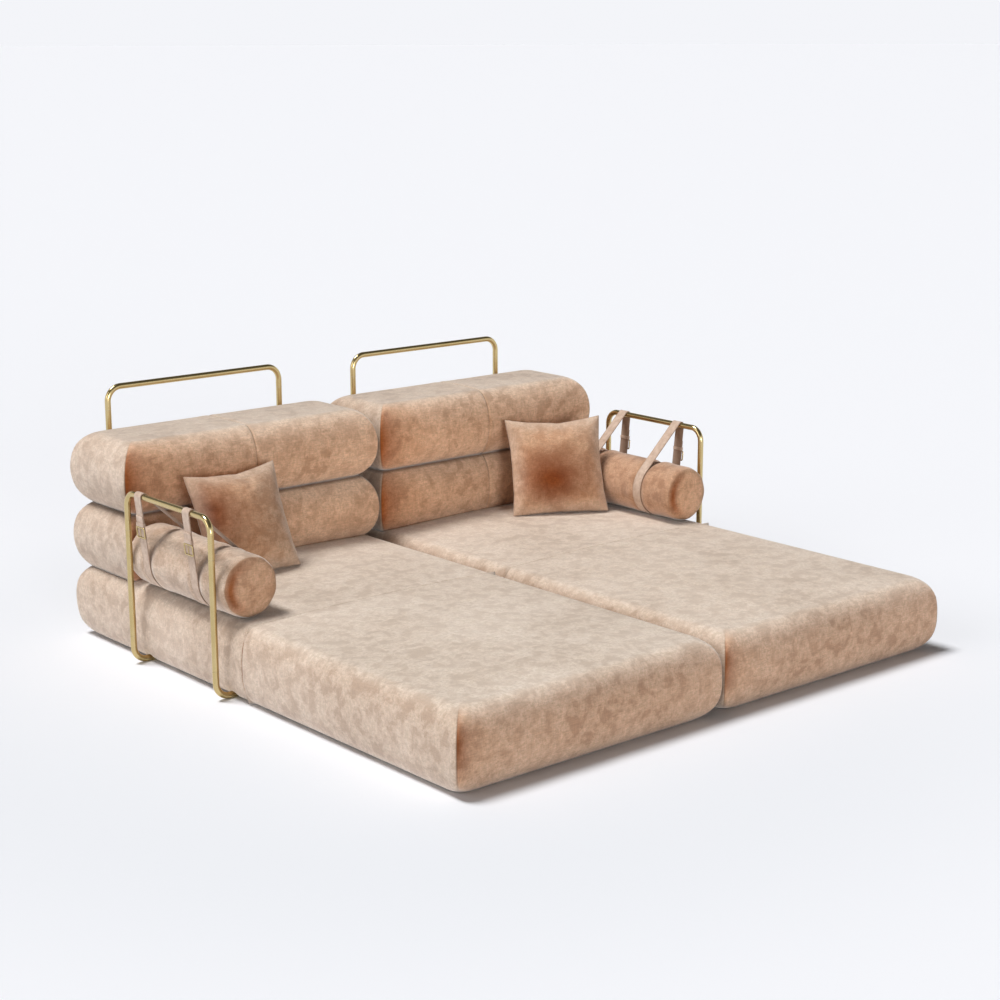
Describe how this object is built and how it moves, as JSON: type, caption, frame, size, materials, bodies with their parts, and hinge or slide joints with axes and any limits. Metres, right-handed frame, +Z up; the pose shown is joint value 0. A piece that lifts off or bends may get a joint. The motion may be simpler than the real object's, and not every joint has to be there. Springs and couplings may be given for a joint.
{
  "type": "futon sleeper sofa",
  "caption": "Modular futon sleeper opened flat as a bed, with stacked back pads, brass tube back and arm hoops, strap-hung bolsters and throw pillows.",
  "frame": {"origin": "on the floor at the centre of the footprint", "axes": "+X to the sleeper's right as seen from its open front end, +Y to the back pads, +Z up"},
  "size_m": [2.0846, 2.0098, 0.814],
  "materials": {
    "velvet": "mottled short-pile velvet",
    "pillow_velvet": "mottled velvet",
    "strap": "matte suede strap",
    "brass": "polished brass tube",
    "foam": "open-cell foam",
    "fibre": "fibre filling",
    "steel": "plain turned bar"
  },
  "bodies": {
    "base": {"left_mattress_rear_cover": "velvet", "left_mattress_rear_foam": "foam", "left_mattress_fold_piping": "velvet", "left_back_frame_hoop": "brass", "left_back_frame_legs": "brass", "left_back_frame_foot": "brass", "left_back_frame_spigots": "steel", "left_arm_frame_hoop": "brass", "left_arm_frame_legs": "brass", "left_arm_frame_foot": "brass", "left_arm_frame_spigots": "steel", "right_mattress_rear_cover": "velvet", "right_mattress_rear_foam": "foam", "right_mattress_fold_piping": "velvet", "right_back_frame_hoop": "brass", "right_back_frame_legs": "brass", "right_back_frame_foot": "brass", "right_back_frame_spigots": "steel", "right_arm_frame_hoop": "brass", "right_arm_frame_legs": "brass", "right_arm_frame_foot": "brass", "right_arm_frame_spigots": "steel"},
    "left_mattress_front": {"left_mattress_front_cover": "velvet", "left_mattress_front_foam": "foam"},
    "left_middle_pad": {"left_middle_pad_cover": "velvet", "left_middle_pad_foam": "foam"},
    "left_top_pad": {"left_top_pad_cover": "velvet", "left_top_pad_foam": "foam"},
    "left_bolster": {"left_bolster_cover": "velvet", "left_bolster_filling": "fibre", "left_front_strap": "strap", "left_rear_strap": "strap", "left_strap_buckles": "brass", "left_strap_keepers": "strap"},
    "left_pillow": {"left_pillow_cover": "pillow_velvet", "left_pillow_filling": "fibre"},
    "right_mattress_front": {"right_mattress_front_cover": "velvet", "right_mattress_front_foam": "foam"},
    "right_middle_pad": {"right_middle_pad_cover": "velvet", "right_middle_pad_foam": "foam"},
    "right_top_pad": {"right_top_pad_cover": "velvet", "right_top_pad_foam": "foam"},
    "right_bolster": {"right_bolster_cover": "velvet", "right_bolster_filling": "fibre", "right_front_strap": "strap", "right_rear_strap": "strap", "right_strap_buckles": "brass", "right_strap_keepers": "strap"},
    "right_pillow": {"right_pillow_cover": "pillow_velvet", "right_pillow_filling": "fibre"}
  },
  "joints": [
    {"name": "left_mattress_fold", "type": "hinge", "parent": "base", "child": "left_mattress_front", "pos_m": [-0.5, -0.011, 0.248], "axis": [-1, 0, 0], "range_deg": [0, 90]},
    {"name": "left_middle_pad_lift", "type": "slide", "parent": "base", "child": "left_middle_pad", "axis": [0, 0, 1], "range_m": [0, 0.2]},
    {"name": "left_top_pad_lift", "type": "slide", "parent": "left_middle_pad", "child": "left_top_pad", "axis": [0, 0, 1], "range_m": [0, 0.2]},
    {"name": "left_bolster_slide", "type": "slide", "parent": "base", "child": "left_bolster", "axis": [0, 1, 0], "range_m": [-0.04, 0.018]},
    {"name": "left_pillow_lift", "type": "slide", "parent": "base", "child": "left_pillow", "axis": [0, 0, 1], "range_m": [0, 0.25]},
    {"name": "right_mattress_fold", "type": "hinge", "parent": "base", "child": "right_mattress_front", "pos_m": [0.5, -0.011, 0.248], "axis": [-1, 0, 0], "range_deg": [0, 90]},
    {"name": "right_middle_pad_lift", "type": "slide", "parent": "base", "child": "right_middle_pad", "axis": [0, 0, 1], "range_m": [0, 0.2]},
    {"name": "right_top_pad_lift", "type": "slide", "parent": "right_middle_pad", "child": "right_top_pad", "axis": [0, 0, 1], "range_m": [0, 0.2]},
    {"name": "right_bolster_slide", "type": "slide", "parent": "base", "child": "right_bolster", "axis": [0, 1, 0], "range_m": [-0.04, 0.018]},
    {"name": "right_pillow_lift", "type": "slide", "parent": "base", "child": "right_pillow", "axis": [0, 0, 1], "range_m": [0, 0.25]}
  ]
}
